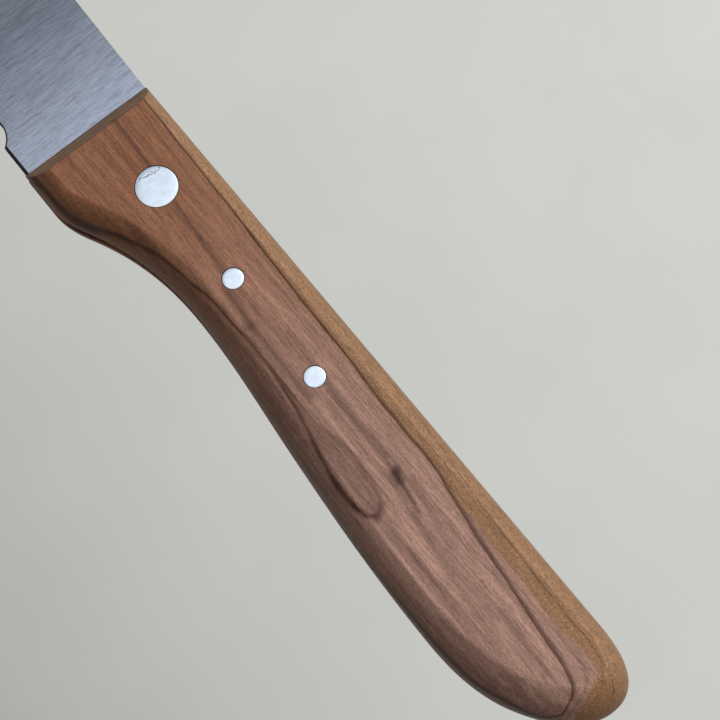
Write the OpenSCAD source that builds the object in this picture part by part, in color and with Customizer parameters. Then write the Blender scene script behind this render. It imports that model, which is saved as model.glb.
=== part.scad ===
// Boning knife, lying on its side with the tip toward -X, the spine toward +Y and the edge toward -Y.
// A stamped blade runs on as a half tang into a saw cut in a one-piece wooden handle. One solid
// rivet and two thinner pins go through wood and tang, and are peened and ground flush on both sides.
// Lengths are in millimetres. The design is drawn on the blade's mid-plane, with x = 0 where the
// wood meets the blade and y = 0 on the line that the heights and depths are measured from.

/* [Handle] */
// Length of the wood from its front edge to the butt
handle_len = 126; // [115:1:155]
// Thickness across the two flat sides
handle_thick = 16; // [13:0.5:20]
// Height of the straight spine above the centre line
spine_h = 12.1; // [11.8:0.1:14]
// Depth of the heel below the centre line
heel_d = 12.8; // [12.6:0.1:14]
// Depth at the waist, where the first finger goes
waist_d = 5.5; // [4.5:0.1:7]
// Distance from the front to the waist
waist_x = 36.7; // [35:0.1:42]
// Depth at the swell, in the palm
swell_d = 9.7; // [8.5:0.1:11]
// Distance from the butt forward to the swell
swell_back = 26; // [22:1:30]
// Height of the rearmost point of the butt above the centre line
butt_h = 5.4; // [4:0.1:7]
// Height of the wall left upright on each side of the mid-plane, before the round-over starts
upright = 1.5; // [0.5:0.1:3]
// How far the rounded section would rise past each flat side, had it not been sanded off
crown = 0.3; // [0.1:0.1:0.8]
// How far the round-over reaches in from the spine
spine_round = 4.4; // [3:0.1:5]
// How far the round-over reaches in from the belly
belly_round = 5.2; // [3:0.1:6]
// How far the dome reaches in from the butt
butt_round = 8; // [5:0.1:9]
// Run of the slope at the front of each side, from the blade up to the flat
front_run = 4.4; // [3:0.1:7]
// Thickness of the wood's lip on the blade, at the bottom of that slope
front_lip = 0.4; // [0.2:0.1:1]

/* [Blade] */
// Length of blade from the wood to the tip
blade_len = 145; // [120:1:180]
// Thickness at the spine, by the handle
blade_thick = 2.2; // [1.5:0.1:3]
// Thickness of the tip
tip_thick = 1; // [0.6:0.1:1.4]
// Thickness behind the ground edge
edge_thick = 0.7; // [0.5:0.1:1]
// Thickness left at the very edge
edge_land = 0.1; // [0.05:0.05:0.2]
// Width of the ground edge
edge_w = 0.8; // [0.5:0.1:1.2]
// Height of the blade's spine where it meets the wood
heel_spine_h = 12.05; // [11.8:0.05:12.4]
// Angle at which the spine rises away from the wood
spine_rise = 1.6; // [0:0.1:2]
// Highest point of the spine above the centre line
crest_h = 13; // [12.6:0.1:14]
// Distance from the wood to that point
crest_x = 45; // [35:1:55]
// Height of the tip above the centre line
tip_h = 11; // [8:0.1:12]
// Width left at the very tip
tip_land = 0.3; // [0.2:0.1:0.6]
// Depth of the ricasso, the unground stretch next to the wood
ricasso_d = 12.5; // [12:0.1:12.5]
// Radius of the notch between ricasso and edge
notch_r = 4.55; // [3:0.05:5]
// Distance from the wood to the notch's centre
notch_x = 10.3; // [8:0.1:12]
// Depth of the notch's centre below the centre line
notch_d = 15.1; // [14:0.1:16]

/* [Tang and rivets] */
// Length of the tang inside the wood
tang_len = 65; // [63:1:75]
// How far the tang's edges lie below the wood
tang_recess = 0.4; // [0.2:0.1:1]
// Distance from the front to the large rivet
front_rivet_x = 17.6; // [14:0.1:21]
// Distance from the front to the middle pin
middle_pin_x = 37.5; // [34:0.1:45]
// Distance from the front to the rear pin
rear_pin_x = 58.1; // [52:0.1:60]
// Height of the three above the centre line
rivet_h = 2.1; // [1:0.1:3]
// Diameter of the large rivet where it shows
rivet_d = 7; // [5:0.1:9]
// Diameter of the two pins where they show
pin_d = 3.5; // [2.8:0.1:5]

/* [Fits] */
// Gap between tang and saw cut, on each side
slot_fit = 0.05; // [0.02:0.01:0.1]
// Gap between the tang's end and the end of the saw cut
slot_end = 0.5; // [0.2:0.1:2]
// Gap around a rivet in its holes
rivet_fit = 0.03; // [0.01:0.01:0.1]
// How far peening swells a rivet's ends beyond its shank
peen = 0.2; // [0.1:0.05:0.3]
// Length of each swollen end
peen_len = 0.6; // [0.3:0.1:1]
// How far the rivets stop below the flat sides
sink = 0.02; // [0.01:0.01:0.05]

/* [Hidden] */
$fn = 96;
CURVE_STEPS = 7;  // stretches that one curve between two knots is drawn with
TANG_STEPS = 16;  // stretches that the tang is drawn with
ROUND_STEPS = 7;  // stretches from the upright wall to the crown
PULL = 0.35;      // length of a curve's handles over the distance between its knots
BUTT_PULL = 0.43; // the same on the rounder last curve
OVER = 1;         // how far a cut runs past what it cuts
NOTCH_LAP = 0.4;  // how far the ground edge runs on into the space that the notch takes away
TINY = 1e-9;      // enough to tell the upper end of the upright wall from the lower

half = handle_thick / 2;
slot = blade_thick / 2 + slot_fit;
low = max(heel_d, ricasso_d);
high = max(crest_h, spine_h);
// From the drawing's origin to the middle of the knife's box, standing on z = 0
to_frame = [(blade_len - handle_len) / 2, (low - high) / 2, half];

// Knots are [x, y, direction in degrees, a value carried along the curve]
function at(a, b, c, d, t) =
    pow(1 - t, 3) * a + 3 * pow(1 - t, 2) * t * b + 3 * (1 - t) * t * t * c + pow(t, 3) * d;
function stretch(p, q, pull, t) =
    let (r = pull * norm([q.x - p.x, q.y - p.y]))
    [
        at(p.x, p.x + r * cos(p[2]), q.x - r * cos(q[2]), q.x, t),
        at(p.y, p.y + r * sin(p[2]), q.y - r * sin(q[2]), q.y, t),
        p[3] + (q[3] - p[3]) * t
    ];
function curve(knots, last_pull = PULL) = [
    for (i = [0:len(knots) - 2], s = [0:CURVE_STEPS - 1])
        stretch(knots[i], knots[i + 1], i < len(knots) - 2 ? PULL : last_pull, s / CURVE_STEPS),
    [for (k = [0, 1, 3]) knots[len(knots) - 1][k]]
];

// The wood's edge on the mid-plane, from the heel round the butt and back along the spine.
// The value carried along is how far the round-over reaches in.
handle_knots = [
    [7.4, -heel_d, 0, belly_round],
    [14.4, -10.7, 27, belly_round],
    [waist_x, -waist_d, 0, belly_round],
    [63.2, -7.6, -5.5, belly_round],
    [handle_len - swell_back, -swell_d, 0, belly_round + 0.6],
    [handle_len - 9, -5.9, 30, butt_round - 0.6],
    [handle_len, butt_h, 90, butt_round],
    [handle_len - 11, spine_h, 180, spine_round]
];
handle_edge = concat([[0, -heel_d, belly_round]], curve(handle_knots, BUTT_PULL), [[0, spine_h, spine_round]]);
edge_count = len(handle_edge);

// Inward direction at point i of the edge, square to the line through its neighbours
function inward(i) =
    let (
        a = handle_edge[max(i - 1, 0)],
        b = handle_edge[min(i + 1, edge_count - 1)],
        n = norm([b.x - a.x, b.y - a.y])
    )
    i == 0 ? [0, 1] : i == edge_count - 1 ? [0, -1] : [a.y - b.y, b.x - a.x] / n;
function edge_in(i, depth) = [handle_edge[i].x, handle_edge[i].y] + depth * inward(i);

// One ring of the wood's skin: t runs from -1 at the lower crown, over 0 upright, to 1 at the upper
function ring(t) =
    let (a = 90 * abs(t))
    [
        for (i = [0:edge_count - 1])
            let (p = edge_in(i, handle_edge[i][2] * (1 - cos(a))))
            [p.x, p.y, sign(t) * (upright + (half + crown - upright) * sin(a))]
    ];
ring_turns = [
    for (s = [-ROUND_STEPS:-1]) s / ROUND_STEPS,
    -TINY, TINY,
    for (s = [1:ROUND_STEPS]) s / ROUND_STEPS
];

// A closed solid over rings of equal length, each running counter-clockwise as seen from the last
// one. Both end faces are drawn out from a ring's last point, which has to see all the others.
module skin(rings) {
    n = len(rings[0]);
    levels = len(rings);
    points = [for (r = rings) each r];
    walls = [
        for (k = [0:levels - 2], i = [0:n - 1])
            let (j = (i + 1) % n)
            each [
                [k * n + i, (k + 1) * n + i, (k + 1) * n + j],
                [k * n + i, (k + 1) * n + j, k * n + j]
            ]
    ];
    first = [for (i = [0:n - 1]) (i + n - 1) % n];
    last = [for (i = [n - 1:-1:0]) (levels - 1) * n + i];
    polyhedron(points, concat(walls, [first, last]), convexity = 6);
}

// The blade's spine and edge, both from just inside the notch's far side to the tip, in matching knots
edge_start = notch_x + sqrt(pow(notch_r, 2) - pow(notch_d - ricasso_d, 2)) - NOTCH_LAP;
spine_knots = [
    [-edge_start, heel_spine_h + edge_start * tan(spine_rise), 180 - spine_rise, 0],
    [-crest_x, crest_h, 180, 0],
    [-blade_len + 35, crest_h - 0.6, 182, 0],
    [-blade_len, tip_h + tip_land, 184, 0]
];
edge_knots = [
    [-edge_start, -ricasso_d, 170, 0],
    [-crest_x, -8.6, 176, 0],
    [-blade_len + 35, -5.2, 172, 0],
    [-blade_len, tip_h, 118, 0]
];
// Depth of the wood's belly at x, as far as the swell
belly = [for (i = [0:4 * CURVE_STEPS]) [handle_edge[i].x, handle_edge[i].y]];

// A rung joins the spine to the edge. They run from the tang's end to the tip, and those of the
// tang and the ricasso are square to the knife.
rungs = concat(
    [
        for (s = [0:TANG_STEPS - 1])
            let (x = tang_len * (1 - s / TANG_STEPS))
            [[x, spine_h - tang_recess], [x, lookup(x, belly) + tang_recess]]
    ],
    [for (x = [0, -notch_x]) [[x, heel_spine_h - x * tan(spine_rise)], [x, -ricasso_d]]],
    let (up = curve(spine_knots), down = curve(edge_knots))
    [for (i = [0:len(up) - 1]) [[up[i].x, up[i].y], [down[i].x, down[i].y]]]
);

function mix(a, b, t) = a + (b - a) * min(1, max(0, t));

// Section of the blade on one rung, from the spine's upper corner round by the edge
function section(rung) =
    let (
        up = rung[0],
        down = rung[1],
        width = norm(up - down),
        ground = -down.x / edge_start,
        up_z = mix(blade_thick, tip_thick, -up.x / blade_len) / 2,
        down_z = mix(blade_thick, edge_thick, ground) / 2,
        land_z = ground < 1 ? down_z : edge_land / 2,
        in = down + (up - down) * min(edge_w, width / 2) / width
    )
    [
        [up.x, up.y, up_z], [up.x, up.y, -up_z],
        [in.x, in.y, -down_z], [down.x, down.y, -land_z],
        [down.x, down.y, land_z], [in.x, in.y, down_z]
    ];

// A rivet with a shank and two ends swollen by peening; extra is added all round for its hole
module rivet(x, d, extra = 0) {
    shank_r = d / 2 - peen + extra;
    translate([x, rivet_h, 0]) {
        cylinder(h = handle_thick - 2 * sink + 2 * extra, r = shank_r, center = true);
        for (side = [0, 1])
            mirror([0, 0, side])
                translate([0, 0, half - peen_len])
                    cylinder(h = peen_len - sink + extra, r1 = shank_r, r2 = d / 2 + extra);
    }
}

module rivets(extra = 0) {
    rivet(front_rivet_x, rivet_d, extra);
    rivet(middle_pin_x, pin_d, extra);
    rivet(rear_pin_x, pin_d, extra);
}

// The wood outside one front slope, which is cut on past the flat side
module front_slope() {
    lip = blade_thick / 2 + front_lip;
    past = OVER * front_run / (half - lip);
    rotate([90, 0, 0])
        linear_extrude(4 * low, center = true)
            polygon([[-OVER, lip], [0, lip], [front_run + past, half + OVER], [-OVER, half + OVER]]);
}

module blade() color("lightsteelblue") translate(to_frame)
    difference() {
        skin([for (r = rungs) section(r)]);
        translate([-notch_x, -notch_d, 0]) cylinder(h = 2 * blade_thick, r = notch_r, center = true);
        rivets(rivet_fit);
    }

module handle() color("sienna") translate(to_frame)
    difference() {
        intersection() {
            skin([for (t = ring_turns) ring(t)]);
            translate([-OVER, -2 * low, -half]) cube([handle_len + 2 * OVER, 4 * low, handle_thick]);
        }
        translate([-OVER, -2 * low, -slot]) cube([OVER + tang_len + slot_end, 4 * low, 2 * slot]);
        for (side = [0, 1]) mirror([0, 0, side]) front_slope();
        rivets(rivet_fit);
    }

module front_rivet() color("aliceblue") translate(to_frame) rivet(front_rivet_x, rivet_d);

module middle_pin() color("aliceblue") translate(to_frame) rivet(middle_pin_x, pin_d);

module rear_pin() color("aliceblue") translate(to_frame) rivet(rear_pin_x, pin_d);

blade();
handle();
front_rivet();
middle_pin();
rear_pin();
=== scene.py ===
"""Boning knife: a satin blade with a half tang, a one-piece fruitwood handle and three peened rivets.

The knife is drawn around the spot where the wood meets the blade: x runs back to the butt,
y up to the spine and z out of the upper side, and each finished piece is then set into the frame.
"""

import math

import bmesh
import bpy
from bpy.props import FloatProperty, FloatVectorProperty, IntProperty, PointerProperty
from mathutils import Matrix, Vector
from mathutils.geometry import interpolate_bezier


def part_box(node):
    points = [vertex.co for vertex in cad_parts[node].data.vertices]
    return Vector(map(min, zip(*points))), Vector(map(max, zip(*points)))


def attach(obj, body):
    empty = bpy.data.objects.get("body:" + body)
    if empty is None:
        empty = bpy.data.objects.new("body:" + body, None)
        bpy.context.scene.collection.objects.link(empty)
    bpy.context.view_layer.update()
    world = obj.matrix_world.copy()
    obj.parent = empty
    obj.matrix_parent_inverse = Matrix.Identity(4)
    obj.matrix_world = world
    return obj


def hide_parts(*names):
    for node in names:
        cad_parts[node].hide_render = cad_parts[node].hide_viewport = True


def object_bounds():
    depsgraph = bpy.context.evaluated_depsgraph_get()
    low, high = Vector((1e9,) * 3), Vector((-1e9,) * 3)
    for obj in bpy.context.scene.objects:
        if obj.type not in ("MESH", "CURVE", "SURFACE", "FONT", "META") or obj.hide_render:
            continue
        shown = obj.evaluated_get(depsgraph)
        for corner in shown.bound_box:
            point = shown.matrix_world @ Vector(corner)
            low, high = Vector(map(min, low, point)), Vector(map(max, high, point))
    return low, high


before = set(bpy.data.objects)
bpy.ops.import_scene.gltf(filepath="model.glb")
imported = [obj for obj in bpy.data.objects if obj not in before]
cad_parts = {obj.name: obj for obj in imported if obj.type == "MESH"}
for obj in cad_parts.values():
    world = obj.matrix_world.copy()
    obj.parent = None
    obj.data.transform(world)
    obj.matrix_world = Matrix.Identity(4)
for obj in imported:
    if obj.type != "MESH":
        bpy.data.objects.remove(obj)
CAD_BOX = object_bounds()

bl_info = {
    "name": "Boning Knife",
    "version": (1, 0, 0),
    "blender": (4, 5, 0),
    "location": "View3D > Sidebar > Knife",
    "description": "Makes a boning knife with a riveted wooden handle, piece by piece",
    "category": "Add Mesh",
}

MM = 0.001
BODY = "root"
HANDLE_LOW, HANDLE_HIGH = (Vector(corner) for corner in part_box("handle"))
BLADE_LOW, BLADE_HIGH = (Vector(corner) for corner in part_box("blade"))
HALF = (HANDLE_HIGH.z - HANDLE_LOW.z) / 2
HEEL_DEPTH = 12.8 * MM
RIVETS = ("front_rivet", "middle_pin", "rear_pin")
# The drawing's origin: the front of the wood, on the centre line and the mid-plane
ORIGIN = Vector((HANDLE_LOW.x, HANDLE_LOW.y + HEEL_DEPTH, (HANDLE_LOW.z + HANDLE_HIGH.z) / 2))


def middle(node):
    """Middle of a CAD node's box, in the drawing's axes"""
    low, high = (Vector(corner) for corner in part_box(node))
    return (low + high) / 2 - ORIGIN


def width(node):
    """Size of a CAD node across the knife"""
    low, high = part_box(node)
    return high[1] - low[1]


# ---------------------------------------------------------------- sizes and colours


def length(name, description, default):
    """A length in metres that a user may change"""
    return FloatProperty(name=name, description=description, default=default, min=0, unit="LENGTH",
                         precision=5)


def colour(name, description, default):
    """A linear colour that a user may change"""
    return FloatVectorProperty(name=name, description=description, default=default, size=3,
                               subtype="COLOR")


class HandleSizes(bpy.types.PropertyGroup):
    """Shape of the wooden handle"""

    waist: length("Waist", "Depth below the centre line where the first finger goes", 5.5 * MM)
    swell: length("Swell", "Depth below the centre line in the palm", 9.7 * MM)
    butt_height: length("Butt height", "Height of the rearmost point above the centre line", 5.4 * MM)
    upright: length("Upright", "Wall left upright on each side of the mid-plane", 1.5 * MM)
    crown: length("Crown", "How far the rounded section would rise past the flats", 0.3 * MM)
    spine_round: length("Spine round-over", "How far the rounding reaches in from the spine", 4.4 * MM)
    belly_round: length("Belly round-over", "How far the rounding reaches in from the belly", 5.2 * MM)
    butt_round: length("Butt dome", "How far the rounding reaches in from the butt", 8 * MM)
    front_run: length("Front slope", "Run of the slope from the blade up to the flat", 4.4 * MM)
    front_lip: length("Front lip", "Thickness of the wood on the blade at the slope's foot", 0.4 * MM)
    soften: length("Softened edges", "Width that sanding leaves on the sharp edges", 0.16 * MM)


class BladeSizes(bpy.types.PropertyGroup):
    """Shape of the blade and its tang"""

    spine: length("Spine", "Height of the spine above the centre line, by the wood", 12.05 * MM)
    rise: FloatProperty(name="Rise", description="Slope of the spine away from the wood",
                        default=math.radians(1.6), subtype="ANGLE")
    ricasso: length("Ricasso", "Depth of the unground stretch below the centre line", 12.5 * MM)
    crest: length("Crest", "Height of the spine's highest point above the centre line", 12.99 * MM)
    crest_place: length("Crest place", "Distance from the wood to that point", 45 * MM)
    tip: length("Tip height", "Height of the tip above the centre line", 11 * MM)
    tip_thickness: length("Tip thickness", "Thickness of the spine at the tip", 1 * MM)
    edge_thickness: length("Edge thickness", "Thickness behind the ground edge", 0.7 * MM)
    edge_width: length("Edge width", "Width of the ground edge", 0.8 * MM)
    edge_land: length("Edge land", "Thickness left at the very edge", 0.1 * MM)
    notch_radius: length("Notch radius", "Radius of the notch between ricasso and edge", 4.55 * MM)
    notch_back: length("Notch place", "Distance from the wood to the notch's centre", 10.3 * MM)
    notch_depth: length("Notch depth", "Depth of the notch's centre below the centre line", 15.1 * MM)
    recess: length("Tang recess", "How far the tang's edges lie below the wood", 0.4 * MM)
    soften: length("Broken edge", "Width of the broken edges of spine and ricasso", 0.28 * MM)


class RivetSizes(bpy.types.PropertyGroup):
    """Shape of the rivets"""

    swelling: length("Swelling", "How far peening swells the ends beyond the shank", 0.2 * MM)
    end: length("Swollen length", "Length of each swollen end", 0.6 * MM)
    gap: length("Gap", "Gap left around the ends, where the wood has shrunk back", 0.11 * MM)
    dome: length("Dome", "How far the middle of an end stands above its rim", 0.05 * MM)
    sides: IntProperty(name="Sides", description="Faces around a rivet", default=96, min=12)


class WoodLook(bpy.types.PropertyGroup):
    """Colours of the wood"""

    front: colour("Front heartwood", "Orange-brown heartwood by the blade", (0.275, 0.118, 0.06))
    rear: colour("Rear heartwood", "Pinkish heartwood along the grip", (0.375, 0.215, 0.162))
    sap: colour("Sapwood", "Golden strip along the spine and round the butt", (0.265, 0.138, 0.068))
    ring: colour("Ring", "Dark line of the growth rings", (0.06, 0.02, 0.01))
    knot: colour("Knot", "Knots and dark streaks", (0.05, 0.018, 0.016))


class MetalLook(bpy.types.PropertyGroup):
    """Colours of the metals"""

    steel: colour("Steel", "Satin blade", (0.3, 0.33, 0.4))
    aluminium: colour("Aluminium", "Rivets", (0.65, 0.73, 0.83))


class StageLook(bpy.types.PropertyGroup):
    """Floor and light"""

    floor: colour("Floor", "Plain pale floor", (0.632, 0.634, 0.588))
    drop: length("Drop", "How far the floor lies below the knife", 150 * MM)


# ---------------------------------------------------------------- shapes

# Points nearer than this count as one, in metres
MERGE = 1e-7


def through(knots, steps, last_pull):
    """Points of a smooth line through knots of x, y, direction in degrees and a value carried along it"""
    pull = 0.35
    points = []
    for here, there in zip(knots, knots[1:]):
        reach = (last_pull if there is knots[-1] else pull) * math.dist(here[:2], there[:2])
        ends = [Vector((knot[0], knot[1], knot[3])) for knot in (here, there)]
        handles = []
        for end, knot, sign in zip(ends, (here, there), (1, -1)):
            turn = math.radians(knot[2])
            handles.append(end + Vector((sign * reach * math.cos(turn), sign * reach * math.sin(turn), 0)))
        handles[0].z += (ends[1].z - ends[0].z) / 3
        handles[1].z -= (ends[1].z - ends[0].z) / 3
        points += interpolate_bezier(ends[0], *handles, ends[1], steps + 1)[:-1]
    return points + [ends[1]]


def mix(a, b, t):
    """Value t of the way from a to b, held at both"""
    return a + (b - a) * min(1, max(0, t))


def raise_ring(bm, ring, places):
    """Extrude a closed ring of vertices once, put the new ones at places and return them"""
    edges = [bm.edges.get(pair) for pair in zip(ring, ring[1:] + ring[:1])]
    made = set(bmesh.ops.extrude_edge_only(bm, edges=edges)["geom"])
    new = [next(e.other_vert(v) for e in v.link_edges if e.other_vert(v) in made) for v in ring]
    for vertex, place in zip(new, places):
        vertex.co = place
    return new


def loft(bm, sections):
    """A closed skin over sections of equal length"""
    ring = [bm.verts.new(place) for place in sections[0]]
    for pair in zip(ring, ring[1:] + ring[:1]):
        bm.edges.new(pair)
    first = list(ring)
    for places in sections[1:]:
        ring = raise_ring(bm, ring, places)
    for end in (first, ring):
        bmesh.ops.edgeloop_fill(bm, edges=[bm.edges.get(pair) for pair in zip(end, end[1:] + end[:1])])
    bmesh.ops.recalc_face_normals(bm, faces=bm.faces)


def plane_cut(bm, point, normal):
    """Take away what lies beyond a plane and close the cut"""
    geometry = bm.verts[:] + bm.edges[:] + bm.faces[:]
    cut = bmesh.ops.bisect_plane(bm, geom=geometry, plane_co=point, plane_no=normal, clear_outer=True,
                                 dist=MERGE)
    edges = [e for e in cut["geom_cut"] if isinstance(e, bmesh.types.BMEdge)]
    bmesh.ops.edgeloop_fill(bm, edges=edges)


def sharp_edges(bm, least, keep=lambda edge: True):
    """Edges that turn by more than an angle in degrees and pass a test"""
    angle = math.radians(least)
    return [e for e in bm.edges if e.is_manifold and e.calc_face_angle(0) > angle and keep(e)]


def soften(bm, edges, offset, segments=2):
    """Round edges off"""
    bmesh.ops.bevel(bm, geom=edges, offset=offset, offset_type="OFFSET", segments=segments, profile=0.5,
                    affect="EDGES", material=-1, clamp_overlap=True)


def piece(name, bm, place=True):
    """Object from a bmesh, set into the frame"""
    if place:
        bmesh.ops.translate(bm, verts=bm.verts, vec=ORIGIN)
    mesh = bpy.data.meshes.new(name)
    bm.to_mesh(mesh)
    bm.free()
    made = bpy.data.objects.new(name, mesh)
    bpy.context.collection.objects.link(made)
    return made


def dress(made, material, node):
    """Give a finished piece its material; it rides the body and replaces its CAD node"""
    made.data.materials.clear()
    made.data.materials.append(material)
    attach(made, BODY)
    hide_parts(node)


def carve(body, cutters):
    """Cut cutter objects out of an object, bake the result into its mesh and remove them"""
    for cutter in cutters:
        cut = body.modifiers.new(cutter.name, "BOOLEAN")
        cut.operation = "DIFFERENCE"
        cut.solver = "EXACT"
        cut.object = cutter
    carved = body.evaluated_get(bpy.context.evaluated_depsgraph_get())
    mesh = bpy.data.meshes.new_from_object(carved)
    body.modifiers.clear()
    body.data = mesh
    for cutter in cutters:
        bpy.data.objects.remove(cutter)


def shade(made, angle=30):
    """Smooth shading with sharp edges kept, and flats that stay flat"""
    made.data.shade_smooth()
    made.data.set_sharp_from_angle(angle=math.radians(angle))
    weighted = made.modifiers.new("flats", "WEIGHTED_NORMAL")
    weighted.keep_sharp = True
    weighted.weight = 80


def box_cutter(name, low, high):
    """A box between two corners, to cut with"""
    bm = bmesh.new()
    bmesh.ops.create_cube(bm, size=1)
    bmesh.ops.scale(bm, verts=bm.verts, vec=high - low)
    bmesh.ops.translate(bm, verts=bm.verts, vec=(low + high) / 2)
    return piece(name, bm)


def rod_cutter(name, centre, radius, height, sides):
    """An upright rod, to cut with"""
    bm = bmesh.new()
    bmesh.ops.create_cone(bm, cap_ends=True, segments=sides, radius1=radius, radius2=radius, depth=height)
    bmesh.ops.translate(bm, verts=bm.verts, vec=centre)
    return piece(name, bm)


def rivet_holes(wider, height):
    """Rods to cut the rivets' holes with, wider than the rivets by an amount all round"""
    sides = bpy.context.scene.knife_rivets.sides
    return [rod_cutter(node + "_hole", middle(node), width(node) / 2 + wider, height, sides)
            for node in RIVETS]


# ---------------------------------------------------------------- materials


class Weave:
    """Node tree of one material, built link by link"""

    def __init__(self, name):
        self.material = bpy.data.materials.new(name)
        self.material.use_nodes = True
        self.tree = self.material.node_tree
        self.surface = self.tree.nodes["Principled BSDF"]

    def add(self, kind, inputs=None, output=0, **settings):
        """A node with its inputs set or linked; returns one of its outputs"""
        node = self.tree.nodes.new("ShaderNode" + kind)
        for key, value in settings.items():
            setattr(node, key, value)
        for key, value in (inputs or {}).items():
            self.feed(node.inputs[key], value)
        return node.outputs[output]

    def feed(self, socket, value):
        """Link a socket, or set its value"""
        if isinstance(value, bpy.types.NodeSocket):
            self.tree.links.new(value, socket)
        else:
            socket.default_value = value

    def math(self, operation, a, b=0.0, c=0.0):
        """One step of arithmetic on up to three values"""
        return self.add("Math", {0: a, 1: b, 2: c}, operation=operation)

    def product(self, first, *others):
        """Several values multiplied together"""
        for other in others:
            first = self.math("MULTIPLY", first, other)
        return first

    def fade(self, value, start, end, low=0.0, high=1.0):
        """A smooth change from low to high as value goes from start to end"""
        sizes = {0: value, 1: start, 2: end, 3: low, 4: high}
        return self.add("MapRange", sizes, interpolation_type="SMOOTHSTEP")

    def blend(self, factor, a, b, how="MIX"):
        """Two colours mixed"""
        node = self.tree.nodes.new("ShaderNodeMix")
        node.data_type = "RGBA"
        node.blend_type = how
        for socket, value in ((node.inputs[0], factor), (node.inputs[6], a), (node.inputs[7], b)):
            self.feed(socket, value)
        return node.outputs[2]

    def tint(self, colour, tone):
        """A colour made lighter or darker by a tone around 1"""
        return self.blend(1.0, colour, self.add("CombineXYZ", {0: tone, 1: tone, 2: tone}), "MULTIPLY")

    def place(self):
        """Where a point is, in millimetres in the drawing's axes"""
        here = self.add("TexCoord", output=3)
        scale = 1 / MM
        return self.add("Mapping", {0: here, "Location": -ORIGIN * scale, "Scale": (scale, scale, scale)})

    def axis(self, place, index):
        """One coordinate of a place"""
        return self.add("SeparateXYZ", {0: place}, output=index)

    def shifted(self, place, index, push):
        """Place pushed along one axis"""
        return self.add("VectorMath", {0: place, 1: self.add("CombineXYZ", {index: push})}, operation="ADD")

    def noise(self, place, scale, detail=2.0, roughness=0.5):
        """Noise from 0 to 1, finer along an axis where scale is larger"""
        drawn_out = self.add("VectorMath", {0: place, 1: scale}, operation="MULTIPLY")
        return self.add("TexNoise", {"Vector": drawn_out, "Scale": 1.0, "Detail": detail,
                                     "Roughness": roughness})

    def around(self, noise, span):
        """Noise from 0 to 1 made to go up to half of span either way"""
        return self.math("MULTIPLY_ADD", noise, span, -span / 2)

    def line(self, x, points, low, high):
        """A smooth line through points of x and value, both in millimetres, with x from 0 to 130"""
        span = 130.0
        node = self.tree.nodes.new("ShaderNodeFloatCurve")
        curve = node.mapping.curves[0]
        spots = [(px / span, (value - low) / (high - low)) for px, value in points]
        for spot, given in zip(curve.points, (spots[0], spots[-1])):
            spot.location = given
        for given in spots[1:-1]:
            curve.points.new(*given)
        node.mapping.update()
        self.feed(node.inputs["Value"], self.math("DIVIDE", x, span))
        return self.math("MULTIPLY_ADD", node.outputs[0], high - low, low)

    def stroke(self, place, start, end, width):
        """1 along a straight stroke on the upper side, fading to 0 at half its width"""
        start, along = Vector((*start, 0)), Vector((*end, 0)) - Vector((*start, 0))
        offset = self.add("VectorMath", {0: place, 1: (1, 1, 0), 2: -start}, operation="MULTIPLY_ADD")
        share = self.add("VectorMath", {0: offset, 1: along / max(along.length_squared, 1e-6)}, output=1,
                         operation="DOT_PRODUCT")
        share = self.add("Clamp", {0: share})
        nearest = self.add("VectorMath", {0: along, 3: share}, operation="SCALE")
        distance = self.add("VectorMath", {0: offset, 1: nearest}, output=1, operation="DISTANCE")
        return self.fade(distance, 0.0, width / 2, 1.0, 0.0)

    def bump(self, height, depth):
        """Relief of a given depth, in metres"""
        self.feed(self.surface.inputs["Normal"],
                  self.add("Bump", {"Height": height, "Strength": 1.0, "Distance": depth}))


def rgba(value):
    """A linear colour as Blender's sockets want it"""
    return (*value, 1.0)


# Strokes of the wood's figure: start, end, width and strength, in millimetres on the upper side
DARK_STROKES = (
    ((4, 3.8), (14.5, 3.4), 1.3, 0.65),
    ((4, 4.6), (12, 4.5), 0.6, 0.35),
    ((4, 8.1), (18, 7.5), 0.5, 0.35),
    ((20.5, 2.8), (29, 2.1), 1.3, 0.55),
    ((29, 2.1), (36, 1.4), 1.6, 0.5),
    ((38, 0.5), (45.5, -0.6), 2.6, 0.6),
    ((45.5, -0.6), (60, -0.4), 3.2, 0.55),
    ((50, 3.2), (75, 2.7), 1.2, 0.35),
    ((61, 2.4), (76, 2.1), 1.3, 0.5),
    ((77.6, 2.15), (79.0, 1.9), 3.2, 1.0),
    ((77.4, 2.6), (77.9, 2.4), 2.2, 0.7),
    ((76.0, 2.2), (78.2, 2.0), 1.2, 0.5),
    ((78.6, 2.0), (83.2, 1.5), 1.0, 0.6),
    ((78.6, 1.8), (84.5, 1.2), 1.2, 0.6),
    ((80, 3.6), (92, 1.4), 2.0, 0.3),
    ((77.4, -5.75), (78.6, -5.7), 0.9, 1.0),
    ((72, -5.7), (78, -5.8), 1.2, 0.6),
    ((80.4, -2.6), (81.2, -4.6), 2.6, 0.55),
    ((84, 0.6), (104, -0.4), 3.0, 0.25),
    ((88, -3.6), (97, -3.9), 1.0, 0.3),
    ((104, 1.2), (115, 0.2), 2.4, 0.25),
    ((100, -6.5), (114, -4.0), 4.0, 0.3),
)
LIGHT_STROKES = (
    ((6, 6.3), (30, 5.3), 3.2, 0.5),
    ((18, 5.2), (48, 3.9), 3.0, 0.55),
    ((56, 5.6), (78, 5.4), 2.2, 0.6),
    ((78, 5.2), (92, 3.9), 2.2, 0.8),
    ((90, 4.0), (114, 2.0), 2.6, 0.8),
    ((64, -0.2), (76, 0.2), 1.6, 0.4),
    ((83, -1.5), (93, -2.6), 4.5, 0.4),
)

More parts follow.
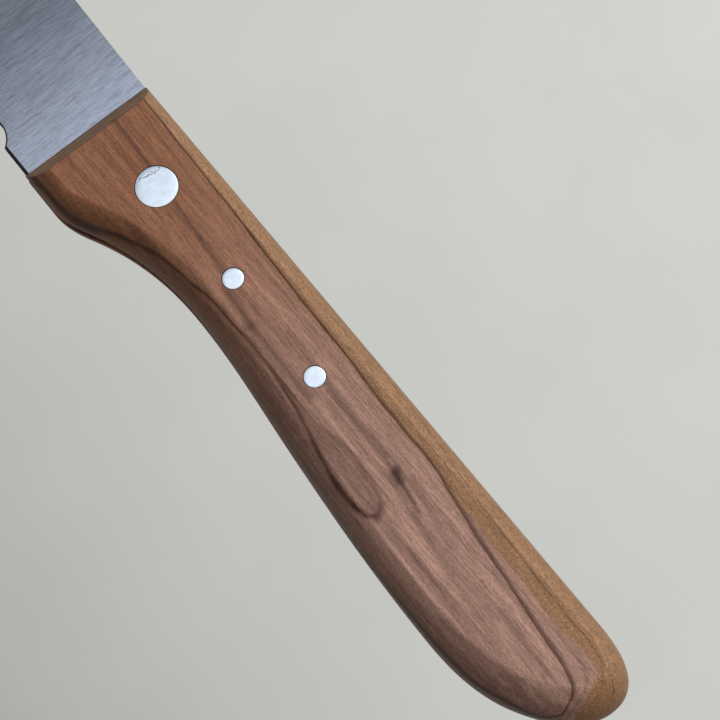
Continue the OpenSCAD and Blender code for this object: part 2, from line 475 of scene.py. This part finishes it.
# Lines of the wood's figure, as x and value in millimetres. The last ring of the heartwood: the
# middle of the ring, and how far the ring lies from it on either side
RING_MIDDLE = ((0, -1.5), (78, -1.6), (90, -2.3), (102, -2.8), (109, -2.8), (116, -1.9), (130, -1))
RING_REACH = (
    (0, 11.2), (15, 10.6), (24.5, 10.2), (38, 9.6), (47, 9.3), (63, 9.0), (74.8, 8.85), (78.7, 9.0),
    (81.2, 8.9), (84, 8.55), (88.5, 8.2), (93, 7.85), (102, 7.2), (107, 6.7), (111, 6.0),
    (115.5, 4.85), (118, 4.1), (119.6, 3.2), (120.7, 1.5), (121.4, 0), (125, -5), (130, -6),
)
# A thin ring in the sapwood, likewise
LATE_REACH = (
    (0, 14), (70, 12.9), (88, 11.6), (102, 11.4), (111, 11.1), (118, 9.85), (121.7, 9.1),
    (124.4, 7.3), (126, 4), (130, 0),
)
# How far the reddish wood reaches past the last ring before the sapwood starts
REDDISH_REACH = ((0, 0), (84, 0), (93, 0.9), (102, 1.6), (111, 2.6), (118, 4), (124, 5), (130, 6))
# The ring along the belly, and how far it opens into an eye on either side of its middle
BELLY_MIDDLE = (
    (0, -12.2), (5, -12), (10.8, -11.6), (13.1, -10.8), (16.3, -9.2), (19, -7.7), (22.2, -6.3),
    (25.4, -5.05), (29, -4.1), (33, -3.4), (38, -2.6), (43, -2.4), (47, -2.3), (52, -2.4),
    (58, -2.7), (66, -3.2), (70, -3.25), (74, -3.55), (77, -3.75), (80, -4), (100, -6), (130, -8),
)
EYE_REACH = (
    (0, 0), (52, 0), (58, 0.25), (62, 0.6), (66, 1.2), (70, 1.95), (74, 2.35), (77, 2.1),
    (79, 1.6), (80.6, 0.9), (81.4, 0), (90, 0), (130, 0),
)


class Fruitwood(Weave):
    """Oiled fruitwood: heartwood with ring lines and a knot, inside a golden band of sapwood"""

    def __init__(self):
        super().__init__("fruitwood")
        self.look = bpy.context.scene.knife_wood
        self.dark = rgba(self.look.ring)
        self.here = self.place()
        self.depth = self.math("SUBTRACT", HALF / MM, self.axis(self.here, 2))
        sway = self.around(self.noise(self.here, (0.05, 0.25, 0.25), 2.0), 0.5)
        waver = self.around(self.noise(self.here, (0.2, 1.6, 1.6), 3.0), 0.5)
        self.figure = self.shifted(self.here, 1, self.math("ADD", sway, waver))
        self.x, self.y = (self.axis(self.figure, i) for i in range(2))
        middle_line = self.line(self.x, RING_MIDDLE, -5, 5)
        self.across = self.math("ABSOLUTE", self.math("SUBTRACT", self.y, middle_line))
        self.fibres = self.noise(self.here, (0.28, 4.2, 4.2), 4.0, 0.8)
        self.pores = self.noise(self.here, (0.5, 5.0, 5.0), 2.0, 0.5)
        near_top = self.fade(self.depth, 2.5, 5.5, 1.0, 0.0)
        self.ragged = self.product(near_top, self.fade(self.fibres, 0.3, 0.6, 0.55, 1.0))

    def past(self, reach):
        """How far a point lies outside a ring, in millimetres; the rings narrow with depth"""
        deeper = self.math("MULTIPLY", self.depth, 0.25)
        return self.math("ADD", self.math("SUBTRACT", self.across, reach), deeper)

    def darken(self, base, *factors):
        """A colour mixed with the dark of the rings"""
        return self.blend(self.product(*factors), base, self.dark)

    def heartwood(self, outside):
        """Orange-brown by the blade and pinkish further back, with streaks and faint rings"""
        x = self.x
        base = self.blend(self.fade(x, 14.0, 72.0), rgba(self.look.front), rgba(self.look.rear))
        streaks = self.noise(self.figure, (0.03, 0.9, 0.6), 3.0, 0.55)
        base = self.darken(base, self.fade(streaks, 0.4, 0.66, 0.0, 0.3))
        across = {"W": self.math("MULTIPLY", outside, 0.55), "Scale": 1.0, "Detail": 4.0}
        rings = self.add("TexNoise", across, noise_dimensions="1D")
        return self.darken(base, self.fade(rings, 0.45, 0.7, 0.0, 0.3))

    def sapwood(self, base, outside):
        """Speckled golden wood past the reddish wood, on the spine's side, painted paler on the flat as
        painted light
        """
        reddish = self.line(self.x, REDDISH_REACH, 0, 10)
        share = self.fade(self.math("SUBTRACT", outside, reddish), -0.4, 1.0)
        specks = self.noise(self.here, (2.6, 6.0, 6.0), 3.0, 0.8)
        # Painted light: the sapwood on the flat is 1.12 times paler than on the round-over
        sap_painted_lit = rgba(channel * 1.12 for channel in self.look.sap)
        sap = self.blend(self.fade(self.depth, 0.2, 1.6), sap_painted_lit, rgba(self.look.sap))
        sap = self.tint(sap, self.fade(specks, 0.36, 0.64, 0.62, 1.3))
        base = self.blend(self.product(share, self.fade(self.y, -3.5, 1.0)), base, sap)
        return self.darken(base, self.fade(outside, -0.9, 0.0), self.fade(outside, 0.0, 1.2, 0.18, 0.0))

    def belly(self, base):
        """The belly's ring and its eye with its darker middle, darker wood with painted shade below the ring,
        and painted shade on the lower edge
        """
        x, y, depth = self.x, self.y, self.depth
        reach = self.line(x, EYE_REACH, 0, 5)
        reach = self.product(reach, self.fade(depth, 1.0, 5.0, 1.0, 0.0))
        above = self.math("SUBTRACT", y, self.line(x, BELLY_MIDDLE, -15, 5))
        gap = self.math("SUBTRACT", self.math("ABSOLUTE", above), reach)
        # Darker wood below the belly ring, partly painted shade: none at the front, strongest from x 30 to 62
        # mm, gone by 82 mm
        below_ring_and_shade = self.fade(self.math("ADD", above, reach), 0.2, -1.2)
        base = self.darken(base, below_ring_and_shade, self.fade(x, 62, 82, 1.0, 0.0), self.fade(x, 4, 30, 0.0, 0.25))
        # Painted shade: the belly's round-over is darkened toward the rear, deeper down the side
        rear_belly_shade = self.product(self.fade(x, 40, 85), self.fade(y, 0.0, -5.0))
        base = self.darken(base, self.fade(depth, 0.3, 4.5), rear_belly_shade, 0.5)
        pupil = self.product(self.fade(gap, 0.2, -0.8), self.fade(x, 52, 66))
        base = self.darken(base, pupil, self.fade(x, 64, 74, 0.5, 0.3))
        rim = self.product(self.fade(gap, -0.75, 0.05),
                           self.fade(gap, 0.05, self.fade(x, 60, 80, 0.7, 1.1), 1.0, 0.0))
        lower_half = self.fade(above, 0.6, -0.6, self.fade(x, 56, 62, 1.0, 0.6), 1.0)
        closed = self.fade(x, 81.2, 82.2, 1.0, 0.0)
        return self.darken(base, rim, lower_half, closed, self.fade(x, 50, 80, 0.95, 0.8))

    def ring_lines(self, base, outside):
        """The heartwood's last ring and the thin one in the sapwood"""
        x = self.x
        spread = self.math("DIVIDE", outside, self.fade(x, 62, 95, 0.68, 0.95))
        line = self.product(self.fade(outside, -0.12, 0.06), self.fade(spread, 0.1, 1.0, 1.0, 0.0))
        base = self.darken(base, line, self.fade(x, 50, 90, 0.95, 0.76))
        gap = self.past(self.line(x, LATE_REACH, 0, 15))
        return self.darken(base, self.fade(gap, -0.25, 0.0), self.fade(gap, 0.0, 0.12, 1.0, 0.0), 0.55)

    def front(self, base):
        """Olive end grain on the slope, and a painted shadow line where the wood meets the blade"""
        x = self.x
        facing = self.axis(self.add("TexCoord", output=1), 0)
        slope = self.product(self.fade(facing, -0.2, -0.4), self.fade(x, 3.6, 4.4, 1.0, 0.0))
        end_grain = self.noise(self.here, (3.2, 0.35, 1.0), 3.0, 0.7)
        olive, pale_olive = (0.15, 0.086, 0.046), (0.29, 0.185, 0.105)
        cut = self.blend(self.fade(end_grain, 0.38, 0.62), rgba(olive), rgba(pale_olive))
        base = self.blend(self.product(slope, 0.8), base, cut)
        # Painted shadow: a thin dark line on the wood where it meets the blade
        return self.darken(base, self.fade(x, 0.12, 0.45, 0.9, 0.0))

    def knot(self, base):
        """The knot and the dark streaks"""
        for start, end, size, strength in DARK_STROKES:
            mark = self.product(self.stroke(self.figure, start, end, size), self.ragged, strength)
            base = self.blend(mark, base, rgba(self.look.knot))
        return base

    def grain(self, base):
        """Fibres, flecks and pores, and the paler streaks"""
        shine = 0.0
        for start, end, size, strength in LIGHT_STROKES:
            shine = self.math("MULTIPLY_ADD", self.stroke(self.figure, start, end, size), strength, shine)
        shine = self.math("MULTIPLY_ADD", self.product(shine, self.ragged), 0.2, 1.0)
        flecks = self.noise(self.here, (1.8, 5.0, 5.0), 3.0, 0.75)
        tone = self.product(self.fade(self.fibres, 0.3, 0.7, 0.7, 1.3),
                            self.fade(flecks, 0.3, 0.7, 0.76, 1.24),
                            self.fade(self.pores, 0.58, 0.72, 1.0, 0.7), shine)
        return self.tint(base, tone)

    def lay(self):
        """Lay the colours from the ground tone up, then the finish and the relief"""
        outside = self.past(self.line(self.x, RING_REACH, -10, 15))
        # On the belly's side the ring is kept to the rear half
        kept = self.math("MAXIMUM", self.fade(self.y, -4, -2), self.fade(self.x, 50, 80))
        outside = self.math("MINIMUM", outside, self.fade(kept, 0.0, 1.0, -3.0, 30.0))
        base = self.sapwood(self.heartwood(outside), outside)
        base = self.ring_lines(self.belly(base), outside)
        base = self.grain(self.knot(self.front(base)))
        self.feed(self.surface.inputs["Base Color"], base)
        self.feed(self.surface.inputs["Roughness"], self.fade(self.fibres, 0.2, 0.8, 0.46, 0.62))
        self.surface.inputs["Specular IOR Level"].default_value = 0.2
        open_pores = self.fade(self.pores, 0.58, 0.74)
        self.bump(self.math("SUBTRACT", self.math("MULTIPLY", self.fibres, 0.6), open_pores), 0.02 * MM)
        return self.material


def wood():
    """Oiled fruitwood of the handle"""
    return Fruitwood().lay()


def painted_shade_edge(weave, place):
    """1 on the lower edge of the ricasso and round the notch, where the steel gets painted shade"""
    sizes = bpy.context.scene.knife_blade
    x, y = (weave.axis(place, i) for i in range(2))
    centre = (-sizes.notch_back / MM, -sizes.notch_depth / MM, 0)
    flat = weave.add("VectorMath", {0: place, 1: (1, 1, 0)}, operation="MULTIPLY")
    from_centre = weave.add("VectorMath", {0: flat, 1: centre}, output=1, operation="DISTANCE")
    from_notch = weave.math("SUBTRACT", from_centre, sizes.notch_radius / MM)
    from_edge = weave.math("ADD", y, sizes.ricasso / MM)
    along_ricasso = weave.product(weave.fade(from_edge, 0.42, 0.54, 1.0, 0.0), weave.fade(x, -7.6, -7.3))
    return weave.math("MAXIMUM", along_ricasso, weave.fade(from_notch, 0.2, 0.3, 1.0, 0.0))


def steel():
    """Satin steel, ground across the blade, with painted light and shade along it and painted shade on the
    ricasso and notch edges
    """
    weave = Weave("satin_steel")
    place = weave.place()
    wander = weave.noise(place, (0.06, 0.04, 0.3), 1.0)
    slant = weave.shifted(place, 0, weave.around(wander, 1.6))
    lines = weave.noise(slant, (6.0, 0.22, 2.0), 5.0, 0.95)
    scores = weave.noise(slant, (2.6, 0.12, 1.0), 3.0, 0.6)
    clouds = weave.noise(place, (0.14, 0.1, 0.3), 3.0)
    # The last factor is painted light and shade: 1.2 times the steel's colour by the wood, down to 0.62 times
    # from 24 mm out
    tone = weave.product(weave.fade(lines, 0.34, 0.66, 0.62, 1.38), weave.fade(scores, 0.3, 0.7, 0.97, 1.03),
                         weave.fade(clouds, 0.25, 0.75, 0.97, 1.03),
                         weave.fade(weave.axis(place, 0), -0.5, -24, 1.2, 0.62))
    base = weave.tint(rgba(bpy.context.scene.knife_metal.steel), tone)
    # Painted shade: the ricasso's lower edge and the notch's rim are painted near black and made rougher
    edge_shade_mask = painted_shade_edge(weave, place)
    base = weave.blend(edge_shade_mask, base, rgba((0.02, 0.022, 0.026)))
    satin = weave.fade(lines, 0.25, 0.75, 0.24, 0.34)
    weave.feed(weave.surface.inputs["Base Color"], base)
    weave.feed(weave.surface.inputs["Roughness"], weave.math("MAXIMUM", satin, weave.product(edge_shade_mask, 0.6)))
    weave.surface.inputs["Metallic"].default_value = 1.0
    weave.bump(weave.math("ADD", lines, weave.math("MULTIPLY", scores, 0.6)), 0.0025 * MM)
    return weave.material


# Folds that peening left in the large end: start, end and width
FOLDS = (
    ((14.9, 0.6), (15.2, 2.2), 0.28),
    ((15.2, 2.2), (15.6, 3.4), 0.3),
    ((15.5, 3.0), (15.3, 4.6), 0.2),
    ((14.8, 2.4), (15.5, 3.6), 0.16),
)


def aluminium():
    """Aluminium peened and then ground flush, with fine scratches and a few folds in the large end"""
    weave = Weave("ground_aluminium")
    place = weave.place()
    scratches = weave.noise(place, (4.0, 0.7, 1.0), 3.0, 0.6)
    other_way = weave.noise(place, (0.9, 5.0, 1.0), 3.0, 0.6)
    dents = weave.noise(place, (0.8, 0.8, 0.8), 3.0)
    uneven = weave.noise(place, (1.6, 1.6, 0.0), 3.0)
    folded = weave.shifted(place, 0, weave.around(uneven, 1.2))
    crease = 0.0
    for start, end, size in FOLDS:
        crease = weave.math("MAXIMUM", crease, weave.stroke(folded, start, end, size))
    tone = weave.product(weave.fade(scratches, 0.3, 0.7, 0.95, 1.04), weave.fade(dents, 0.3, 0.7, 0.95, 1.03))
    base = weave.tint(rgba(bpy.context.scene.knife_metal.aluminium), tone)
    base = weave.blend(weave.product(crease, 0.85), base, rgba((0.1, 0.11, 0.13)))
    weave.feed(weave.surface.inputs["Base Color"], base)
    weave.feed(weave.surface.inputs["Roughness"], weave.fade(other_way, 0.3, 0.7, 0.3, 0.42))
    weave.surface.inputs["Metallic"].default_value = 1.0
    relief = weave.math("ADD", weave.product(scratches, 0.15), weave.product(other_way, 0.15))
    relief = weave.math("ADD", relief, weave.product(dents, 0.8))
    weave.bump(weave.math("SUBTRACT", relief, crease), 0.02 * MM)
    return weave.material


def paper():
    """Plain pale floor with the faintest mottle, and painted shade that darkens it on the belly's side"""
    weave = Weave("pale_floor")
    place = weave.place()
    mottle = weave.noise(place, (0.03, 0.03, 0.03), 3.0)
    # Painted shade: the floor darkens to 0.66 of its colour from y 20 mm to y -170 mm
    shade = weave.fade(weave.axis(place, 1), 20, -170, 1.0, 0.66)
    tone = weave.product(weave.fade(mottle, 0.3, 0.7, 0.985, 1.015), shade)
    base = weave.tint(rgba(bpy.context.scene.knife_stage.floor), tone)
    weave.feed(weave.surface.inputs["Base Color"], base)
    weave.surface.inputs["Roughness"].default_value = 0.9
    return weave.material


# ---------------------------------------------------------------- pieces


def handle_edge():
    """The wood's edge on the mid-plane, from the heel round the butt to the spine, with its round-over"""
    s = bpy.context.scene.knife_handle
    end = HANDLE_HIGH.x - HANDLE_LOW.x
    spine = HANDLE_HIGH.y - ORIGIN.y
    knots = [
        (7.4 * MM, -HEEL_DEPTH, 0, s.belly_round),
        (14.4 * MM, -10.7 * MM, 27, s.belly_round),
        (36.7 * MM, -s.waist, 0, s.belly_round),
        (63.2 * MM, -7.6 * MM, -5.5, s.belly_round),
        (end - 26 * MM, -s.swell, 0, s.belly_round + 0.6 * MM),
        (end - 9 * MM, -5.9 * MM, 30, s.butt_round - 0.6 * MM),
        (end, s.butt_height, 90, s.butt_round),
        (end - 11 * MM, spine, 180, s.spine_round),
    ]
    heel = [Vector((t * MM, -HEEL_DEPTH, s.belly_round)) for t in (0, 2.5, 5)]
    back = [Vector((t * MM, spine, s.spine_round)) for t in (100, 80, 60, 40, 20, 8, 4, 0)]
    return heel + through(knots, 20, 0.43) + back


def edge_in(edge, i, inset):
    """Point i of an edge moved square to the edge into the wood"""
    if i in (0, len(edge) - 1):
        along = Vector((1, 0)) if i == 0 else Vector((-1, 0))
    else:
        along = (edge[i + 1] - edge[i - 1]).to_2d().normalized()
    return edge[i].to_2d() + inset * Vector((-along.y, along.x))


class KNIFE_OT_handle(bpy.types.Operator):
    """Make the wooden handle, with its saw cut and rivet holes"""

    bl_idname = "knife.handle"
    bl_label = "Handle"

    def outlines(self, sizes):
        """The wood's outline at every level, from the lower flat to the upper one"""
        edge = handle_edge()
        rise = HALF + sizes.crown - sizes.upright
        top = math.asin((HALF - sizes.upright) / rise)
        levels = 14
        turns = [top * k / levels for k in range(levels + 1)]
        outlines = []
        for side, order in ((-1, reversed(turns)), (1, turns)):
            for turn in order:
                height = side * (sizes.upright + rise * math.sin(turn))
                inward = 1 - math.cos(turn)
                spots = [edge_in(edge, i, edge[i].z * inward) for i in range(len(edge))]
                outlines.append([Vector((spot.x, spot.y, height)) for spot in spots])
        return outlines

    def slope_front(self, bm, sizes, lip):
        """Slope the front of the wood down to a thin lip on both sides of the blade"""
        slope = math.atan2(HALF - lip, sizes.front_run)
        for side in (1, -1):
            foot = Vector((0, 0, side * lip))
            plane_cut(bm, foot, Vector((-math.sin(slope), 0, side * math.cos(slope))))

    def saw_cut(self, steel_half):
        """The slot for the tang: open at the front, the spine and the belly"""
        past_front, past_edge = 1 * MM, 20 * MM
        half = steel_half + 0.05 * MM
        end = BLADE_HIGH.x - ORIGIN.x + 0.5 * MM
        return box_cutter("saw_cut", Vector((-past_front, -past_edge, -half)), Vector((end, past_edge, half)))

    def execute(self, context):
        sizes = context.scene.knife_handle
        steel_half = (BLADE_HIGH.z - BLADE_LOW.z) / 2
        bm = bmesh.new()
        loft(bm, self.outlines(sizes))
        self.slope_front(bm, sizes, steel_half + sizes.front_lip)
        soften(bm, sharp_edges(bm, 35), sizes.soften)
        body = piece("wooden_handle", bm)
        carve(body, [self.saw_cut(steel_half)] + rivet_holes(context.scene.knife_rivets.gap, 3 * HALF))
        dress(body, wood(), "handle")
        shade(body)
        return {"FINISHED"}


class KNIFE_OT_blade(bpy.types.Operator):
    """Make the blade with its half tang"""

    bl_idname = "knife.blade"
    bl_label = "Blade"

    def tang_rungs(self, sizes):
        """Pairs of points on spine and edge, from the tang's end to the ricasso"""
        tang = BLADE_HIGH.x - ORIGIN.x
        spine = HANDLE_HIGH.y - ORIGIN.y - sizes.recess
        edge = handle_edge()
        belly = [p for p in edge[: len(edge) // 2] if 2 * MM < p.x < tang]
        pairs = [((tang, spine), (tang, belly[-1].y + sizes.recess))]
        return pairs + [((p.x, spine), (p.x, p.y + sizes.recess)) for p in reversed(belly)]

    def blade_rungs(self, sizes, start, reach):
        """The same from the ricasso, which ends at start, to the tip, which is at reach"""
        slope = math.tan(sizes.rise)
        pairs = [((x, sizes.spine - x * slope), (x, -sizes.ricasso))
                 for x in (0, -0.5 * start, -sizes.notch_back)]
        by_tip = -reach + 35 * MM
        upper = through([
            (-start, sizes.spine + start * slope, 180 - math.degrees(sizes.rise), 0),
            (-sizes.crest_place, sizes.crest, 180, 0),
            (by_tip, sizes.crest - 0.6 * MM, 182, 0),
            (-reach, sizes.tip + 0.3 * MM, 184, 0),
        ], 24, 0.35)
        lower = through([
            (-start, -sizes.ricasso, 170, 0),
            (-sizes.crest_place, -8.6 * MM, 176, 0),
            (by_tip, -5.2 * MM, 172, 0),
            (-reach, sizes.tip, 118, 0),
        ], 24, 0.35)
        return pairs + [((u.x, u.y), (l.x, l.y)) for u, l in zip(upper, lower)]

    def section(self, sizes, up, down, start, reach):
        """Outline of the steel on one rung: parallel at the tang, ground to an edge past start"""
        thickness = BLADE_HIGH.z - BLADE_LOW.z
        ground = -down.x / start
        spine_half = mix(thickness, sizes.tip_thickness, -up.x / reach) / 2
        edge_half = mix(thickness, sizes.edge_thickness, ground) / 2
        land = edge_half if ground < 1 - 1e-6 else sizes.edge_land / 2
        span = (up - down).length
        inner = down + (up - down) * min(sizes.edge_width, span / 2) / span
        corners = ((up, spine_half), (up, -spine_half), (inner, -edge_half),
                   (down, -land), (down, land), (inner, edge_half))
        return [Vector((spot.x, spot.y, z)) for spot, z in corners]

    def break_corners(self, body, sizes, start):
        """Soften the outer corners of spine, notch and ricasso, but not of the ground edge"""
        bm = bmesh.new()
        bm.from_mesh(body.data)

        def outer(e):
            """Whether an edge lies along the spine, or between the ground edge and the wood"""
            spots = [v.co - ORIGIN for v in e.verts]
            on_spine = all(p.y > 8 * MM for p in spots)
            return on_spine or all(-start + 0.3 * MM < p.x < 0.2 * MM for p in spots)

        soften(bm, sharp_edges(bm, 50, outer), sizes.soften, 3)
        bm.to_mesh(body.data)
        bm.free()

    def execute(self, context):
        sizes = context.scene.knife_blade
        rivets = context.scene.knife_rivets
        half_chord = math.sqrt(sizes.notch_radius**2 - (sizes.notch_depth - sizes.ricasso) ** 2)
        start = sizes.notch_back + half_chord - 0.4 * MM
        reach = ORIGIN.x - BLADE_LOW.x
        rungs = self.tang_rungs(sizes) + self.blade_rungs(sizes, start, reach)
        bm = bmesh.new()
        loft(bm, [self.section(sizes, Vector(up), Vector(down), start, reach) for up, down in rungs])
        body = piece("stamped_blade", bm)
        height = 4 * (BLADE_HIGH.z - BLADE_LOW.z)
        notch = Vector((-sizes.notch_back, -sizes.notch_depth, 0))
        notch_cutter = rod_cutter("notch", notch, sizes.notch_radius, height, 2 * rivets.sides)
        carve(body, [notch_cutter] + rivet_holes(0.03 * MM - rivets.swelling, height))
        self.break_corners(body, sizes, start)
        dress(body, steel(), "blade")
        shade(body, 12)
        return {"FINISHED"}


class KNIFE_OT_rivets(bpy.types.Operator):
    """Make the large rivet and the two pins"""

    bl_idname = "knife.rivets"
    bl_label = "Rivets"

    def profile(self, sizes, node):
        """Half the outline of a rivet, from its middle up to the top of its dome"""
        radius = width(node) / 2
        low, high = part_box(node)
        half = (high[2] - low[2]) / 2
        shank = radius - sizes.swelling
        rim = 0.06 * MM
        side = [
            (shank, 0),
            (shank, half - sizes.end),
            (radius, half - rim - sizes.dome),
            (radius - 0.4 * rim, half - 0.3 * rim - sizes.dome),
            (radius - 1.5 * rim, half - sizes.dome),
        ]
        turns = [math.radians(degrees) for degrees in (40, 55, 70, 80)]
        dome = [(radius * math.cos(turn), half - sizes.dome * (1 - math.sin(turn))) for turn in turns]
        return side + dome + [(0, half)]

    def execute(self, context):
        sizes = context.scene.knife_rivets
        metal = aluminium()
        for node in RIVETS:
            bm = bmesh.new()
            spots = [bm.verts.new((r, 0, z)) for r, z in self.profile(sizes, node)]
            edges = [bm.edges.new(pair) for pair in zip(spots, spots[1:])]
            bmesh.ops.spin(bm, geom=spots + edges, cent=(0, 0, 0), axis=(0, 0, 1), angle=2 * math.pi,
                           steps=sizes.sides, use_merge=True)
            whole = bm.verts[:] + bm.edges[:] + bm.faces[:]
            bmesh.ops.mirror(bm, geom=whole, axis="Z", merge_dist=MERGE)
            bmesh.ops.remove_doubles(bm, verts=bm.verts, dist=MERGE)
            bmesh.ops.recalc_face_normals(bm, faces=bm.faces)
            bmesh.ops.translate(bm, verts=bm.verts, vec=middle(node))
            made = piece("peened_" + node, bm)
            dress(made, metal, node)
            shade(made, 40)
        return {"FINISHED"}


class KNIFE_OT_stage(bpy.types.Operator):
    """Make the floor, the light and the camera"""

    bl_idname = "knife.stage"
    bl_label = "Stage"

    def floor(self, context):
        """A wide plain floor below the knife"""
        bm = bmesh.new()
        bmesh.ops.create_grid(bm, x_segments=1, y_segments=1, size=4)
        bmesh.ops.translate(bm, verts=bm.verts, vec=(0, 0, CAD_BOX[0][2] - context.scene.knife_stage.drop))
        ground = piece("floor", bm, place=False)
        ground.data.materials.append(paper())

    def sky(self, context):
        """A bright panel overhead that fades toward the tip, and a glow that is strongest past the spine"""
        world = bpy.data.worlds.new("soft_daylight")
        context.scene.world = world
        world.use_nodes = True
        tree = world.node_tree
        background = tree.nodes["Background"]
        direction = tree.nodes.new("ShaderNodeTexCoord").outputs["Generated"]

        def level(toward, stops):
            """Brightness by direction; stops are how far it faces a given one, value and warm-to-cool tint"""
            facing = tree.nodes.new("ShaderNodeVectorMath")
            facing.operation = "DOT_PRODUCT"
            facing.inputs[1].default_value = Vector(toward).normalized()
            share = tree.nodes.new("ShaderNodeMath")
            share.operation = "MULTIPLY_ADD"
            share.inputs[1].default_value = share.inputs[2].default_value = 0.5
            ramp = tree.nodes.new("ShaderNodeValToRGB")
            while len(ramp.color_ramp.elements) < len(stops):
                ramp.color_ramp.elements.new(0.5)
            for element, (place, value, tint) in zip(ramp.color_ramp.elements, stops):
                element.position = place
                element.color = (value * (1 - tint), value, value * (1 + tint), 1)
            tree.links.new(direction, facing.inputs[0])
            tree.links.new(facing.outputs["Value"], share.inputs[0])
            tree.links.new(share.outputs[0], ramp.inputs[0])
            return ramp.outputs[0]

        def join(a, b, how):
            """Two brightnesses put together"""
            node = tree.nodes.new("ShaderNodeVectorMath")
            node.operation = how
            tree.links.new(a, node.inputs[0])
            tree.links.new(b, node.inputs[1])
            return node.outputs[0]

        panel = level((-0.3, 0.11, 0.945), ((0.92, 0.0, 0.0), (0.965, 0.85, 0.03), (1.0, 1.0, 0.03)))
        toward_tip = level((-1, 0, 0), ((0.69, 1.0, 0.0), (0.715, 0.7, 0.0), (0.74, 0.3, 0.0)))
        glow = level((0, 0.55, 0.83), (
            (0.0, 0.03, -0.2), (0.3, 0.05, -0.15), (0.5, 0.09, -0.1),
            (0.7, 0.17, 0.0), (0.85, 0.3, 0.02), (1.0, 0.45, 0.03),
        ))
        light = join(join(panel, toward_tip, "MULTIPLY"), glow, "ADD")
        tree.links.new(light, background.inputs[0])

    def lamp(self, context, name, place, target, size, power, tint):
        """A square soft lamp that faces a point"""
        light = bpy.data.lights.new(name, "AREA")
        light.size = size
        light.energy = power
        light.color = tint
        made = bpy.data.objects.new(name, light)
        made.location = place
        made.rotation_euler = (Vector(target) - Vector(place)).to_track_quat("-Z", "Y").to_euler()
        context.collection.objects.link(made)

    def camera(self, context):
        """An 80 mm lens above the grip, leaning toward the butt"""
        lens = bpy.data.cameras.new("camera")
        lens.lens = 80
        lens.sensor_width = 36
        lens.clip_start = 0.01
        right = Vector((0.63105, 0.77566, -0.01117))
        up = Vector((-0.75062, 0.61419, 0.24360))
        back = right.cross(up)
        turn = Matrix((right, up, back)).transposed().to_4x4()
        made = bpy.data.objects.new("camera", lens)
        made.matrix_world = Matrix.Translation(ORIGIN + Vector((109.23, -26.95, 249.38)) * MM) @ turn
        context.collection.objects.link(made)
        context.scene.camera = made

    def execute(self, context):
        self.floor(context)
        self.sky(context)
        self.lamp(context, "window", (0.1, 0.95, 0.75), (0, 0, 0), 0.8, 13.2, (0.97, 0.98, 1.0))
        self.lamp(context, "ceiling", (0.1, -0.45, 0.9), (0, 0, 0), 0.7, 0.8, (1.0, 0.95, 0.9))
        self.camera(context)
        context.scene.view_settings.view_transform = "Standard"
        return {"FINISHED"}


class KNIFE_PT_panel(bpy.types.Panel):
    """Lists the makers of the pieces, each with its sizes and colours"""

    bl_label = "Boning Knife"
    bl_idname = "KNIFE_PT_panel"
    bl_space_type = "VIEW_3D"
    bl_region_type = "UI"
    bl_category = "Knife"

    def draw(self, context):
        for maker, groups in PIECES:
            self.layout.operator(maker.bl_idname)
            for group in groups:
                settings = getattr(context.scene, group)
                for name in settings.bl_rna.properties.keys():
                    if name not in ("rna_type", "name"):
                        self.layout.prop(settings, name)


GROUPS = {
    "knife_handle": HandleSizes,
    "knife_blade": BladeSizes,
    "knife_rivets": RivetSizes,
    "knife_wood": WoodLook,
    "knife_metal": MetalLook,
    "knife_stage": StageLook,
}
PIECES = (
    (KNIFE_OT_blade, ("knife_blade", "knife_metal")),
    (KNIFE_OT_handle, ("knife_handle", "knife_wood")),
    (KNIFE_OT_rivets, ("knife_rivets",)),
    (KNIFE_OT_stage, ("knife_stage",)),
)


def register():
    for name, group in GROUPS.items():
        bpy.utils.register_class(group)
        setattr(bpy.types.Scene, name, PointerProperty(type=group))
    for maker, _ in PIECES:
        bpy.utils.register_class(maker)
    bpy.utils.register_class(KNIFE_PT_panel)


def unregister():
    bpy.utils.unregister_class(KNIFE_PT_panel)
    for maker, _ in reversed(PIECES):
        bpy.utils.unregister_class(maker)
    for name, group in reversed(GROUPS.items()):
        delattr(bpy.types.Scene, name)
        bpy.utils.unregister_class(group)


def main():
    register()
    bpy.ops.knife.blade()
    bpy.ops.knife.handle()
    bpy.ops.knife.rivets()
    bpy.ops.knife.stage()


if __name__ == "__main__":
    main()
